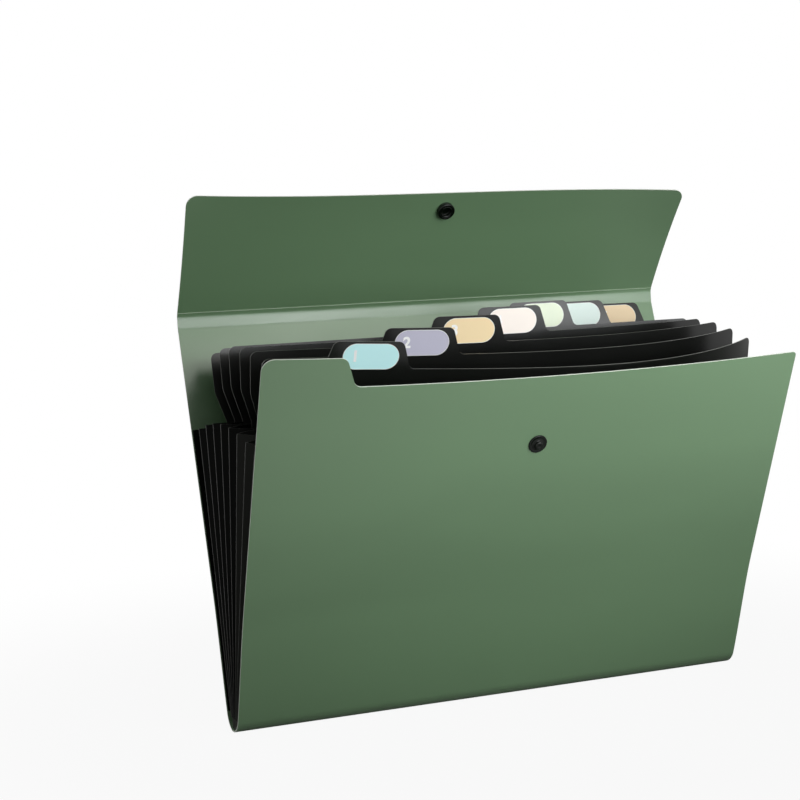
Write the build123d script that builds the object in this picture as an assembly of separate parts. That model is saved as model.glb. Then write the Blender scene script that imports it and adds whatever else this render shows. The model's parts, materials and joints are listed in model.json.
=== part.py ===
from build123d import *
import math
import os

os.makedirs("parts", exist_ok=True)

# Accordion file folder, in millimetres and degrees.
# X runs along the spine to the right, Y to the back, Z up.
# The origin is the middle of the base strip's underside.
# A lean is measured from upright, positive towards the back.

# Sheet stock
COVER_T = 0.8
DIVIDER_T = 0.3
GUSSET_T = 0.2
LABEL_T = 0.12

# Cover sheet: front, base, back, spine strip and flap
COVER_WIDTH = 330.0
FRONT_RAISED_WIDTH = 45.5
FRONT_STEP_RISE = 17.5
FRONT_STEP_RUN = 6.2
FRONT_STEP_R = 5.0
FRONT_CORNER_R = 7.0
FRONT_RIGHT_R = 2.5
FOOT_CORNER_R = 5.0
FLAP_LENGTH = 79.0
FLAP_CORNER_R = 7.0

# Dividers and their index tabs
DIVIDER_COUNT = 7
DIVIDER_HEIGHT = 222.0
EAR_INSET = 12.5
EAR_DROP = 24.0
EAR_CORNER_R = 4.0
NECK_RISE = 20.0
NECK_R = 12.0
TAB_RISE = 16.0
TAB_TOP_WIDTH = 38.0
TAB_SIDE_RUN = 5.0
TAB_TOP_R = 4.0
TAB_FOOT_R = 3.5
FIRST_TAB_INSET = 23.0
LAST_TAB_INSET = 3.0

# Index labels
LABEL_HEIGHT = 15.0
LABEL_TOP_MARGIN = 1.2
LABEL_LEFT_MARGIN = 5.0
LABEL_RIGHT_MARGIN = 2.0

# Pleated side gussets
GUSSET_FOOT = 6.0
RIDGE_INSET = 0.8
PLEAT_ANGLE = 27

# Snap fastener
SNAP_FROM_FLAP_EDGE = 12.0
SNAP_R = 5.5
STUD_FLANGE_T = 0.8
STUD_KNOB_R = 2.6
STUD_KNOB_RISE = 2.2
SOCKET_WEB_T = 0.9
SNAP_CAP_T = 1.0
INNER_CAP_R = 4.5
INNER_CAP_T = 0.5
RIVET_R = 1.5

# Rest pose
FRONT_LEAN = -23.2
BACK_LEAN = 17.8
SPINE_LEAN = -4.2
FLAP_LEAN = -33.4
SPINE_CLOSED_LEAN = -88.0

# Clearances
POCKET_GAP = 0.8
HINGE_GAP = 0.4
CREASE_GAP = 0.55
CREASE_HEADROOM = 4.8
FLAP_CLOSED_GAP = 0.3
PLEAT_GAP = 0.05
RIDGE_GAP = 0.1
RIVET_GAP = 0.1
SNAP_BORE_GAP = 0.3
SNAP_SEAT_GAP = 0.5

# Places that follow from the sizes above
HALF_WIDTH = COVER_WIDTH / 2
HINGE_Z = COVER_T + HINGE_GAP
TAB_TOP = DIVIDER_HEIGHT + TAB_RISE
BACK_HEIGHT = TAB_TOP + CREASE_HEADROOM
FRONT_HEIGHT = TAB_TOP - FRONT_STEP_RISE
EAR_HALF = HALF_WIDTH - EAR_INSET
EAR_FOOT = DIVIDER_HEIGHT - EAR_DROP
GUSSET_HEIGHT = EAR_FOOT - NECK_RISE
TAB_TOP_HALF = TAB_TOP_WIDTH / 2
TAB_FOOT_HALF = TAB_TOP_HALF + TAB_SIDE_RUN
DIVIDER_PITCH = POCKET_GAP + DIVIDER_T
COVER_PITCH = POCKET_GAP + (DIVIDER_T + COVER_T) / 2
COVER_Y = DIVIDER_PITCH * (DIVIDER_COUNT - 1) / 2 + COVER_PITCH
CLOSED_DEPTH = 2 * COVER_Y + COVER_T
SPINE_WIDTH = (CLOSED_DEPTH + FLAP_CLOSED_GAP) / math.sin(math.radians(-SPINE_CLOSED_LEAN))
FAN_STEP = (BACK_LEAN - FRONT_LEAN) / (DIVIDER_COUNT + 1)
SNAP_STACK = STUD_FLANGE_T + SNAP_SEAT_GAP + STUD_KNOB_RISE + SOCKET_WEB_T


def along(lean, length):
    """Y and Z travelled by a sheet of the given length at the given lean."""
    return length * math.sin(math.radians(lean)), length * math.cos(math.radians(lean))


def sheet_plane(y, z, lean):
    """Plane of a sheet hinged along X at y, z: local x is X, local y runs up the sheet, z faces the front."""
    run, rise = along(lean, 1.0)
    return Plane(origin=(0, y, z), x_dir=(1, 0, 0), z_dir=(0, -rise, run))


# Fan of sheets from the front cover to the back cover: name, hinge place, lean and thickness
PANELS = [("front_cover", -COVER_Y, FRONT_LEAN, COVER_T)]
for number in range(1, DIVIDER_COUNT + 1):
    hinge_y = (number - (DIVIDER_COUNT + 1) / 2) * DIVIDER_PITCH
    PANELS.append((f"divider_{number}", hinge_y, FRONT_LEAN + number * FAN_STEP, DIVIDER_T))
PANELS.append(("back_cover", COVER_Y, BACK_LEAN, COVER_T))

# Creases above the back cover
BACK_RUN, BACK_RISE = along(BACK_LEAN, BACK_HEIGHT)
LOWER_CREASE = (COVER_Y + BACK_RUN, HINGE_Z + BACK_RISE)
SPINE_RUN, SPINE_RISE = along(SPINE_LEAN, SPINE_WIDTH)
UPPER_CREASE = (LOWER_CREASE[0] + SPINE_RUN, LOWER_CREASE[1] + SPINE_RISE)

# With the folder closed, the flap hangs from its crease and stands off the front at the snap
CLOSED_DROP = along(SPINE_CLOSED_LEAN, SPINE_WIDTH)[1]
SNAP_ON_FLAP = FLAP_LENGTH - SNAP_FROM_FLAP_EDGE
FLAP_STAND_OFF = SNAP_STACK - FLAP_CLOSED_GAP
SNAP_BELOW_CREASE = math.sqrt(SNAP_ON_FLAP**2 - FLAP_STAND_OFF**2)
SNAP_HEIGHT = BACK_HEIGHT + CLOSED_DROP - SNAP_BELOW_CREASE

# A pleat facet is as wide as half a pocket allows at its height, and its hinge line slants to suit
STEEPEST_POCKET = max(abs(FRONT_LEAN), abs(BACK_LEAN)) - FAN_STEP / 2
POCKET_FOOT = POCKET_GAP * math.cos(math.radians(STEEPEST_POCKET))
POCKET_FOOT -= (1 - math.cos(math.radians(STEEPEST_POCKET))) * (COVER_T + DIVIDER_T) / 2
PLEAT_SIN = math.sin(math.radians(PLEAT_ANGLE))
PLEAT_OFFSET = PLEAT_GAP + GUSSET_T / 2
PLEAT_ROOM = POCKET_FOOT / 2 - PLEAT_OFFSET - RIDGE_GAP
FACET_FOOT = (PLEAT_ROOM - GUSSET_T / 2 * math.cos(math.radians(PLEAT_ANGLE))) / PLEAT_SIN
FACET_GROWTH = math.sin(math.radians(FAN_STEP / 2)) / PLEAT_SIN
FACET_SLANT = math.asin(FACET_GROWTH)
RIDGE_X = HALF_WIDTH - RIDGE_INSET


def valley_x(height):
    """Distance of a gusset's inner crease from the middle, at a height up the sheet."""
    return RIDGE_X - (FACET_FOOT + FACET_GROWTH * height) / math.cos(FACET_SLANT)


def outline(points):
    """Closed face through points of x, y and corner radius."""
    corners = [(x, y) for x, y, _ in points]
    radii = [radius for _, _, radius in points]
    return make_face(FilletPolyline(*corners, radius=radii, close=True).edges())


def plate(face, plane, thickness):
    """Sheet of the given thickness, centred on a plane."""
    return plane * extrude(face, amount=thickness / 2, both=True)


def disc(radius, low, high, place):
    """Round disc about the local z axis at a place on the sheet, between two heights."""
    body = Cylinder(radius, high - low, align=(Align.CENTER, Align.CENTER, Align.MIN))
    return Pos(place[0], place[1], low) * body


def save(name, solid):
    export_step(solid, f"parts/{name}.step")


def base_strip():
    """Flat strip under the fan, which the folder stands on."""
    length = COVER_WIDTH - 2 * FOOT_CORNER_R
    return Pos(0, 0, COVER_T / 2) * Box(length, CLOSED_DEPTH, COVER_T)


def front_cover(plane):
    """Front sheet, raised at its left end, with a hole for the snap's rivet."""
    step_x = -HALF_WIDTH + FRONT_RAISED_WIDTH
    face = outline([
        (-HALF_WIDTH, 0, FOOT_CORNER_R),
        (HALF_WIDTH, 0, FOOT_CORNER_R),
        (HALF_WIDTH, FRONT_HEIGHT, FRONT_RIGHT_R),
        (step_x + FRONT_STEP_RUN, FRONT_HEIGHT, FRONT_STEP_R),
        (step_x, TAB_TOP, FRONT_STEP_R),
        (-HALF_WIDTH, TAB_TOP, FRONT_CORNER_R),
    ])
    hole = disc(RIVET_R + RIVET_GAP, -COVER_T, COVER_T, (0, SNAP_HEIGHT))
    return plate(face, plane, COVER_T) - plane * hole


def back_cover(plane):
    """Back sheet, up to the lower crease."""
    top = BACK_HEIGHT - CREASE_GAP
    face = outline([
        (-HALF_WIDTH, 0, FOOT_CORNER_R),
        (HALF_WIDTH, 0, FOOT_CORNER_R),
        (HALF_WIDTH, top, 0),
        (-HALF_WIDTH, top, 0),
    ])
    return plate(face, plane, COVER_T)


def spine_strip(plane):
    """Strip between the two creases."""
    top = SPINE_WIDTH - CREASE_GAP
    face = outline([
        (-HALF_WIDTH, CREASE_GAP, 0),
        (HALF_WIDTH, CREASE_GAP, 0),
        (HALF_WIDTH, top, 0),
        (-HALF_WIDTH, top, 0),
    ])
    return plate(face, plane, COVER_T)


def closure_flap(plane):
    """Flap above the upper crease, with a hole for the snap's rivet."""
    face = outline([
        (-HALF_WIDTH, CREASE_GAP, 0),
        (HALF_WIDTH, CREASE_GAP, 0),
        (HALF_WIDTH, FLAP_LENGTH, FLAP_CORNER_R),
        (-HALF_WIDTH, FLAP_LENGTH, FLAP_CORNER_R),
    ])
    hole = disc(RIVET_R + RIVET_GAP, -COVER_T, COVER_T, (0, SNAP_ON_FLAP))
    return plate(face, plane, COVER_T) - plane * hole


def tab_centre(number):
    """Middle of a divider's tab along X: the tabs step evenly from the first to the last."""
    reach = EAR_HALF - EAR_CORNER_R - TAB_FOOT_HALF
    first = FIRST_TAB_INSET - reach
    last = reach - LAST_TAB_INSET
    return first + (last - first) * (number - 1) / (DIVIDER_COUNT - 1)


def divider(number, plane):
    """Divider sheet: sides along the gussets, a neck, two ears and one index tab."""
    neck_x = valley_x(GUSSET_HEIGHT)
    middle = tab_centre(number)
    right = [
        (valley_x(0), 0, 0),
        (neck_x, GUSSET_HEIGHT, NECK_R),
        (EAR_HALF, EAR_FOOT, NECK_R),
        (EAR_HALF, DIVIDER_HEIGHT, EAR_CORNER_R),
    ]
    tab = [
        (middle + TAB_FOOT_HALF, DIVIDER_HEIGHT, TAB_FOOT_R),
        (middle + TAB_TOP_HALF, TAB_TOP, TAB_TOP_R),
        (middle - TAB_TOP_HALF, TAB_TOP, TAB_TOP_R),
        (middle - TAB_FOOT_HALF, DIVIDER_HEIGHT, TAB_FOOT_R),
    ]
    left = [(-x, y, radius) for x, y, radius in reversed(right)]
    return plate(outline(right + tab + left), plane, DIVIDER_T)


def index_label(number, plane):
    """Pill-shaped sticker on the front of a tab."""
    length = TAB_TOP_WIDTH - LABEL_LEFT_MARGIN - LABEL_RIGHT_MARGIN
    middle = tab_centre(number) + (LABEL_LEFT_MARGIN - LABEL_RIGHT_MARGIN) / 2
    height = TAB_TOP - LABEL_TOP_MARGIN - LABEL_HEIGHT / 2
    pill = Pos(middle, height) * SlotOverall(length, LABEL_HEIGHT)
    return plane * (Pos(0, 0, DIVIDER_T / 2) * extrude(pill, amount=LABEL_T))


def pleat_axis(side, face, thickness):
    """Local hinge line of a facet. Side is 1 at the right, face is 1 on the sheet's front."""
    start = (side * valley_x(0), 0, face * (thickness / 2 + PLEAT_OFFSET))
    slant = (side * math.sin(FACET_SLANT), -math.cos(FACET_SLANT), 0)
    return Axis(start, tuple(side * face * part for part in slant))


def pleat_facet(side, face, thickness, plane):
    """Half of one pleat, hinged along the sheet's slanted side and turned out by the pleat's angle."""
    shape = outline([
        (side * (valley_x(GUSSET_FOOT) + PLEAT_GAP), GUSSET_FOOT, 0),
        (side * RIDGE_X, GUSSET_FOOT, 0),
        (side * RIDGE_X, GUSSET_HEIGHT, 0),
        (side * (valley_x(GUSSET_HEIGHT) + PLEAT_GAP), GUSSET_HEIGHT, 0),
    ])
    flat = plate(shape, Plane.XY, GUSSET_T)
    lifted = Pos(0, 0, face * (thickness / 2 + PLEAT_OFFSET)) * flat
    return plane * lifted.rotate(pleat_axis(side, face, thickness), PLEAT_ANGLE)


def front_snap_stud(plane):
    """Knob on a flange, on the outside of the front, with a blind hole for the rivet."""
    place = (0, SNAP_HEIGHT)
    seat = COVER_T / 2
    knob_foot = seat + STUD_FLANGE_T
    knob = disc(STUD_KNOB_R, knob_foot, knob_foot + STUD_KNOB_RISE, place)
    stud = disc(SNAP_R, seat, knob_foot, place) + knob
    return plane * (stud - disc(RIVET_R + RIVET_GAP, seat, knob_foot, place))


def front_snap_cap(plane):
    """Thin cap inside the front, with the rivet that holds the stud."""
    place = (0, SNAP_HEIGHT)
    seat = COVER_T / 2
    rivet = disc(RIVET_R, -seat, seat + STUD_FLANGE_T - RIVET_GAP, place)
    return plane * (disc(INNER_CAP_R, -seat - INNER_CAP_T, -seat, place) + rivet)


def flap_snap_socket(plane):
    """Ring on the inside of the flap that takes the stud's knob."""
    place = (0, SNAP_ON_FLAP)
    seat = COVER_T / 2
    web = seat + SOCKET_WEB_T
    mouth = web + STUD_KNOB_RISE
    socket = disc(SNAP_R, seat, mouth, place) - disc(STUD_KNOB_R + SNAP_BORE_GAP, web, mouth, place)
    return plane * (socket - disc(RIVET_R + RIVET_GAP, seat, web, place))


def flap_snap_cap(plane):
    """Cap on the outside of the flap, with the rivet that holds the socket."""
    place = (0, SNAP_ON_FLAP)
    seat = COVER_T / 2
    rivet = disc(RIVET_R, -seat, seat + SOCKET_WEB_T, place)
    return plane * (disc(SNAP_R, -seat - SNAP_CAP_T, -seat, place) + rivet)


planes = [sheet_plane(y, HINGE_Z, lean) for _, y, lean, _ in PANELS]
spine_plane = sheet_plane(*LOWER_CREASE, SPINE_LEAN)
flap_plane = sheet_plane(*UPPER_CREASE, FLAP_LEAN)

save("cover_base", base_strip())
save("front_cover", front_cover(planes[0]))
save("back_cover", back_cover(planes[-1]))
save("spine_strip", spine_strip(spine_plane))
save("closure_flap", closure_flap(flap_plane))
save("front_snap_stud", front_snap_stud(planes[0]))
save("front_snap_cap", front_snap_cap(planes[0]))
save("flap_snap_socket", flap_snap_socket(flap_plane))
save("flap_snap_cap", flap_snap_cap(flap_plane))

for number in range(1, DIVIDER_COUNT + 1):
    save(f"divider_{number}", divider(number, planes[number]))
    save(f"index_label_{number}", index_label(number, planes[number]))

# Each pocket has two facets a side: one on the back of the sheet before it, one on the front of the next
for pocket in range(1, DIVIDER_COUNT + 2):
    before = PANELS[pocket - 1][3]
    after = PANELS[pocket][3]
    for side_name, side in (("left", -1), ("right", 1)):
        save(f"{side_name}_pleat_{pocket}_front", pleat_facet(side, -1, before, planes[pocket - 1]))
        save(f"{side_name}_pleat_{pocket}_rear", pleat_facet(side, 1, after, planes[pocket]))
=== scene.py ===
"""Looks of the accordion file folder: cover sheet, dividers, gusset film, labels and snaps."""
import json
import math

import bmesh
import bpy
from mathutils import Matrix, Vector, geometry, kdtree
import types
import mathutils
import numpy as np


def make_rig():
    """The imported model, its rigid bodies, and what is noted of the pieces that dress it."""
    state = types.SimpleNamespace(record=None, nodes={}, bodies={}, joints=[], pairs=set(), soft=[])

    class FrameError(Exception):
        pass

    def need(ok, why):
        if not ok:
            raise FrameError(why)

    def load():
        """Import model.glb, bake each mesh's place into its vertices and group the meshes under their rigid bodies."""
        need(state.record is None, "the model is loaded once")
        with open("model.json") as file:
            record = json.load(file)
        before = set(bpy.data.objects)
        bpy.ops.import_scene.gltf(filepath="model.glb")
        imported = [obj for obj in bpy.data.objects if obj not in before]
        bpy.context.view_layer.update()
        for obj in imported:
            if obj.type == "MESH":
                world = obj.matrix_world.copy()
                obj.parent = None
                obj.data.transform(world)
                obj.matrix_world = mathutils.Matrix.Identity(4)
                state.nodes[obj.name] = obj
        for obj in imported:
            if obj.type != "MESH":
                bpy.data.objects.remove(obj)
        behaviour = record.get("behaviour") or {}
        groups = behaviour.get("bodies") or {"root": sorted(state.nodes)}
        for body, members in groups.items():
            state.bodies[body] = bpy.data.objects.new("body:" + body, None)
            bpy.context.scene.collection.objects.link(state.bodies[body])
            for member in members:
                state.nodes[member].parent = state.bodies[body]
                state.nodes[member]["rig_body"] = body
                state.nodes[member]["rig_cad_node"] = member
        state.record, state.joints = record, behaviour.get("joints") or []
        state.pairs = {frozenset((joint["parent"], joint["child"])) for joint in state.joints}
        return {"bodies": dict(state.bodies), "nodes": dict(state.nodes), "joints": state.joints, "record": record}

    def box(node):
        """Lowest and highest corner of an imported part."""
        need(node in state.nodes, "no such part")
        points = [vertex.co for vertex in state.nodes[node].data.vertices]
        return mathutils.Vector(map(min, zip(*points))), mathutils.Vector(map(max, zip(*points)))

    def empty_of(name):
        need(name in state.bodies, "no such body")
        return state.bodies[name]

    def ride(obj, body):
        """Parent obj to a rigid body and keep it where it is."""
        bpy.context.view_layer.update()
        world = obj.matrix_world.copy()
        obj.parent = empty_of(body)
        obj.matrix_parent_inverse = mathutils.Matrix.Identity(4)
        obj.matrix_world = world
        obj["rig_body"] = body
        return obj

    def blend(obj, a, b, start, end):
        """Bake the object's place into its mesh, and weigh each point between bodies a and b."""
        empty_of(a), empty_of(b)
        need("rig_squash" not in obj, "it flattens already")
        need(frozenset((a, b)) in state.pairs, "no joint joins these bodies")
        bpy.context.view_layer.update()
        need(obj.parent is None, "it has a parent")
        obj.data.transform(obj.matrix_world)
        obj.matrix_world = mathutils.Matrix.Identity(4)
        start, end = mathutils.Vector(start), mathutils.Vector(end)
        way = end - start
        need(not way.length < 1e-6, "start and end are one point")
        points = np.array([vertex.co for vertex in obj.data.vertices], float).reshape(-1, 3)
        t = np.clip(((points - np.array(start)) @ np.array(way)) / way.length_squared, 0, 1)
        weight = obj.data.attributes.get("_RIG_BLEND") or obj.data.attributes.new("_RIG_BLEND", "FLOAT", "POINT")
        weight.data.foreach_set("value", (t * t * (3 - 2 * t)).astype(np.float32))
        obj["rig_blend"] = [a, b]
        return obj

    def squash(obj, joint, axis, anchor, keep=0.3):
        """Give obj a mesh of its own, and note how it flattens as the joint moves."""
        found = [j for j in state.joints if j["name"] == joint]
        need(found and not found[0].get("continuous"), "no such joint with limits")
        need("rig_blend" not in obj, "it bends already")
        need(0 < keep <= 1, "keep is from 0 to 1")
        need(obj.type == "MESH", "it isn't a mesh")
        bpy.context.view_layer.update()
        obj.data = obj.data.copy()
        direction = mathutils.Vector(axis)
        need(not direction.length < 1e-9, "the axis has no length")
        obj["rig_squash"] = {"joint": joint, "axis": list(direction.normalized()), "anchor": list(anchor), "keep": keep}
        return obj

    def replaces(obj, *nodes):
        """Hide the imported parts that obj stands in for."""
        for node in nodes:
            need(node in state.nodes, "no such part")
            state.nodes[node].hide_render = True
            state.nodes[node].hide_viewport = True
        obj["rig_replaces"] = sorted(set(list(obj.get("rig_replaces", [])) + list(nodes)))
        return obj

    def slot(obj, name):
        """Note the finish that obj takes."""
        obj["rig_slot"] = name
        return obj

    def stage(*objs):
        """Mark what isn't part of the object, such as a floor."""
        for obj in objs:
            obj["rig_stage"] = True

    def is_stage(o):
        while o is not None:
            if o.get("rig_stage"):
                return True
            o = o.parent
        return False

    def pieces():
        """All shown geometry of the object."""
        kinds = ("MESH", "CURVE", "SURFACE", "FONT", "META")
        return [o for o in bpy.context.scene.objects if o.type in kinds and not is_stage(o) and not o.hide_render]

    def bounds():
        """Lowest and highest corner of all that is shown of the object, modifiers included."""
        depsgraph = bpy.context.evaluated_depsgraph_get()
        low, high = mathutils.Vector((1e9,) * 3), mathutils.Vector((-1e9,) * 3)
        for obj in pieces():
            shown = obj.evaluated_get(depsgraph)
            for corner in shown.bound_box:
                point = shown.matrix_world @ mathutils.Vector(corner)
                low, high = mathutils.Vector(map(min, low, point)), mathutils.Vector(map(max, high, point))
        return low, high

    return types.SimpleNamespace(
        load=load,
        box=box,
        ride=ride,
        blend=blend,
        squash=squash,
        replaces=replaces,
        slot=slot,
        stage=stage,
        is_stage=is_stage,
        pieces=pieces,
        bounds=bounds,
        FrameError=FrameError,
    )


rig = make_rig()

MM = 0.001
X_AXIS = Vector((1, 0, 0))
Y_AXIS = Vector((0, 1, 0))

# Curves of the sheets at rest, in millimetres off their flat planes
FRONT_BOW = 10.0
DIVIDER_BOWS = [22.9, 20.0, 16.7, 15.0, 0.0, 0.0, 3.2]
TAB_CURLS = [0.0, 0.0, 0.0, 1.1, 0.0, 1.0, 0.3]
FLAP_CURL = 6.0
FOOT_BULGE = 4.0
SPINE_ARCH = 0.95
FILM_WAVE = 0.5

# How those curves run: powers, and shares of a height or width
BOW_POWER = 1.5
DIVIDER_SKEW = 0.67
SHOULDER_REACH = 0.81
SPINE_PEAK = 0.8
FILM_BULGE = 0.045

# Shares of the curves that stay when the folder is closed
FRONT_KEEP = 0.12
DIVIDER_KEEP = 0.06
FLAP_KEEP = 0.05
FILM_KEEP = 0.1

# Heights on the sheets, in millimetres above their hinges
TAB_FOOT = 214.0
FOOT_END = 9.0
FOOT_BULGE_TOP = 80.0
FLANGE_FOOT = 10.0

# Sizes of the drawn pieces, in millimetres
DIVIDER_VISIBLE_T = 0.5
CREASE_REACH = 1.6
CREASE_T = 0.5
FOOT_FLAT = 1.0
FILM_T = 0.2
FLANGE_MARGIN = 0.6
FLANGE_T = 0.1
FOLD_R = 0.27
STICKER_T = 0.16
STICKER_BORDER = 0.25
PRINT_RISE = 0.05
DIGIT_HEIGHT = 6.2
DIGIT_WEIGHT = 0.3
DIGIT_HALF_T = 0.03
DIGIT_RISE = 0.02

# Shares: a digit's place along its label and height in its letter size, a fold's radius at its foot
DIGIT_PLACE = 0.22
DIGIT_CAP = 0.7
FOLD_FOOT = 0.55

# Steps and reaches of the meshes, in millimetres, and parts of the foot
COVER_STEP = 7.0
SPINE_STEP = 1.6
DIVIDER_STEP = 6.0
LABEL_STEP = 2.5
FOOT_STEP = 4.0
NORMAL_REACH = 0.5
SEAM_REACH = 0.05
FOOT_PARTS = 3
BEND_PARTS = 12

# Limits for reading an outline and for filling it with points
SAME_FACING = 0.999
CORNER_DIGITS = 7
GRID_CLEAR = 0.55
MERGE_REACH = 1e-7

# Gusset film: waves up and across a facet, shifts from facet to facet, and how many pleats are greyer
WAVES_UP = 1.3
WAVES_ACROSS = 0.35
POCKET_SHIFT = 1.7
LEFT_SHIFT = 0.9
REAR_SHIFT = 0.5
FRONT_PLEATS = 3

# Snap fastener, in millimetres: how far it sinks into the sheet, its heights, radii and rounded edges
SNAP_SINK = 0.2
STUD_FLANGE = 0.8
BORE_FLOOR = 0.8
KNOB_R = 2.6
BORE_R = 2.9
STUD_EDGE = 0.45
INNER_CAP_EDGE = 0.25
SOCKET_EDGE = 0.7
OUTER_CAP_EDGE = 0.5

# Lower edge of a snap piece as a share of its upper edge, and parts of a rounded edge
LOWER_EDGE = 0.3
EDGE_PARTS = 6

# Turned steps of the snap fastener: shares of a radius, and rises from a level in millimetres
STUD_GROOVE = [(0.78, 0.0), (0.74, -0.12), (0.66, -0.12), (0.62, 0.0)]
KNOB_FOOT = [(1.05, 0.0), (0.86, 0.25), (0.88, 0.7), (1.0, 1.2)]
KNOB_HEAD = [(1.0, -0.6), (0.9, -0.2), (0.7, 0.0), (0.4, 0.0), (0.3, -0.25), (0.0, -0.3)]
SOCKET_GROOVE = [(0.8, 0.0), (0.76, -0.2), (0.68, -0.2), (0.64, 0.0)]
BORE_END = [(1.0, 0.1), (0.9, 0.0), (0.0, 0.0)]
CAP_DISH = [(0.6, 0.0), (0.55, -0.1), (0.0, -0.15)]

# Mouth of the socket's bore: widths beyond its radius and rises from the top, in millimetres
BORE_MOUTH = [(0.5, 0.0), (0.1, -0.25), (0.0, -0.6)]

# Noise in the plastics: scales for a metre, depths in metres, and the band of the noise that is used
MOTTLE_SCALE = 14.0
PATCH_SCALE = 40.0
WAVE_SCALE = 26.0
GRAIN_DEPTH = 0.0002
WAVE_DEPTH = 0.002
NOISE_LOW = 0.2
NOISE_HIGH = 0.8

# Light and floor, with lengths in metres
WHITE = (1, 1, 1, 1)
WORLD_LIGHT = 0.2
FLOOR_GREY = (0.3, 0.3, 0.3, 1)
FLOOR_RADII = (0.15, 0.3, 0.6, 1.2, 2.5, 6.0)
FLOOR_Z = -0.0002

# Camera that matches the photo
CAMERA_PLACE = (-0.41659, -0.95058, 0.26601)
CAMERA_YAW = 21.0
CAMERA_PITCH = -4.53
CAMERA_ROLL = -2.66
CAMERA_LENS = 77.09
CAMERA_SENSOR = 36.0

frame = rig.load()
CAD_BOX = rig.bounds()
JOINTS = {}
for entry in frame["record"]["behaviour"]["joints"]:
    JOINTS[entry["name"]] = entry


class Sheet:
    """A flat CAD sheet: its hinge point, up and front directions, thickness and outline."""

    def __init__(self, node, joint):
        mesh = frame["nodes"][node].data
        widest = max(mesh.polygons, key=lambda face: face.area)
        self.front = widest.normal.normalized()
        if self.front.y > 0:
            self.front = -self.front
        self.up = self.front.cross(X_AXIS).normalized()
        self.origin = Vector(JOINTS[joint]["pos_m"])
        depths = [(vertex.co - self.origin).dot(self.front) for vertex in mesh.vertices]
        self.thickness = max(depths) - min(depths)
        self.outline = [self.flat(point) for point in outer_loop(mesh, self.front)]
        if loop_area(self.outline) < 0:
            self.outline.reverse()

    def flat(self, point):
        """Place of a point on the sheet: along the width, and up from the hinge."""
        offset = point - self.origin
        return Vector((offset.dot(X_AXIS), offset.dot(self.up)))

    def point(self, x, h, depth=0.0):
        """Point in space for a place on the sheet and a depth in front of its hinge plane."""
        return self.origin + X_AXIS * x + self.up * h + self.front * depth


def outer_loop(mesh, normal):
    """Corner points, in order, round the faces of a mesh that share a normal."""
    directed = set()
    for face in mesh.polygons:
        if face.normal.dot(normal) > SAME_FACING:
            corners = []
            for index in face.vertices:
                corners.append(tuple(round(value, CORNER_DIGITS) for value in mesh.vertices[index].co))
            for first, second in zip(corners, corners[1:] + corners[:1]):
                directed.add((first, second))
    following = {}
    for first, second in directed:
        if (second, first) not in directed:
            following[first] = second
    loops = []
    while following:
        loop = []
        corner = min(following)
        while corner in following:
            loop.append(Vector(corner))
            corner = following.pop(corner)
        loops.append(loop)
    return max(loops, key=lambda loop: max((corner - loop[0]).length for corner in loop))


def loop_area(loop):
    """Area inside a flat loop, above zero when it runs anticlockwise."""
    total = 0.0
    for first, second in zip(loop, loop[1:] + loop[:1]):
        total += first.x * second.y - second.x * first.y
    return total / 2


def resampled(loop, step):
    """Loop with its long sides cut into parts of about one step."""
    points = []
    for first, second in zip(loop, loop[1:] + loop[:1]):
        parts = max(1, round((second - first).length / step))
        for part in range(parts):
            points.append(first.lerp(second, part / parts))
    return points


def filled(loop, step):
    """Points and triangles that fill a loop, with a grid of points inside it."""
    rim = resampled(loop, step)
    tree = kdtree.KDTree(len(rim))
    for index, corner in enumerate(rim):
        tree.insert(corner.to_3d(), index)
    tree.balance()
    low_x = min(corner.x for corner in rim)
    high_x = max(corner.x for corner in rim)
    low_y = min(corner.y for corner in rim)
    high_y = max(corner.y for corner in rim)
    points = list(rim)
    rows = max(1, round((high_y - low_y) / step))
    columns = max(1, round((high_x - low_x) / step))
    for row in range(1, rows):
        for column in range(1, columns):
            x = low_x + (high_x - low_x) * column / columns
            y = low_y + (high_y - low_y) * row / rows
            if tree.find((x, y, 0))[2] > GRID_CLEAR * step:
                points.append(Vector((x, y)))
    found = geometry.delaunay_2d_cdt(points, [], [list(range(len(rim)))], 1, MERGE_REACH)
    flat_points, triangles = found[0], found[2]
    used = sorted({index for triangle in triangles for index in triangle})
    number = {index: place for place, index in enumerate(used)}
    corners = [flat_points[index] for index in used]
    return corners, [[number[index] for index in triangle] for triangle in triangles]


def new_piece(name, bm, materials):
    """Mesh object from a finished bmesh, shaded smooth apart from its sharp edges."""
    bmesh.ops.recalc_face_normals(bm, faces=bm.faces)
    mesh = bpy.data.meshes.new(name)
    bm.to_mesh(mesh)
    bm.free()
    for polygon in mesh.polygons:
        polygon.use_smooth = True
    for material in materials:
        mesh.materials.append(material)
    piece = bpy.data.objects.new(name, mesh)
    bpy.context.scene.collection.objects.link(piece)
    return piece


def two_layers(name, middle, faces, thickness, materials):
    """Closed thin piece round middle points with normals, with a rim in the second material."""
    bm = bmesh.new()
    front = [bm.verts.new(point + normal * thickness / 2) for point, normal in middle]
    back = [bm.verts.new(point - normal * thickness / 2) for point, normal in middle]
    directed = set()
    for corners in faces:
        bm.faces.new([front[index] for index in corners])
        bm.faces.new([back[index] for index in reversed(corners)])
        for first, second in zip(corners, corners[1:] + corners[:1]):
            directed.add((first, second))
    for first, second in sorted(directed):
        if (second, first) not in directed:
            rim = bm.faces.new((front[second], front[first], back[first], back[second]))
            rim.material_index = 1
            for layer in (front, back):
                bm.edges.get((layer[first], layer[second])).smooth = False
    return new_piece(name, bm, materials)


def grid_faces(rows, columns):
    """Four-sided faces over a grid of points that is numbered row by row."""
    faces = []
    for row in range(rows):
        for column in range(columns):
            first = row * (columns + 1) + column
            second = first + columns + 1
            faces.append([first, first + 1, second + 1, second])
    return faces


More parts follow.
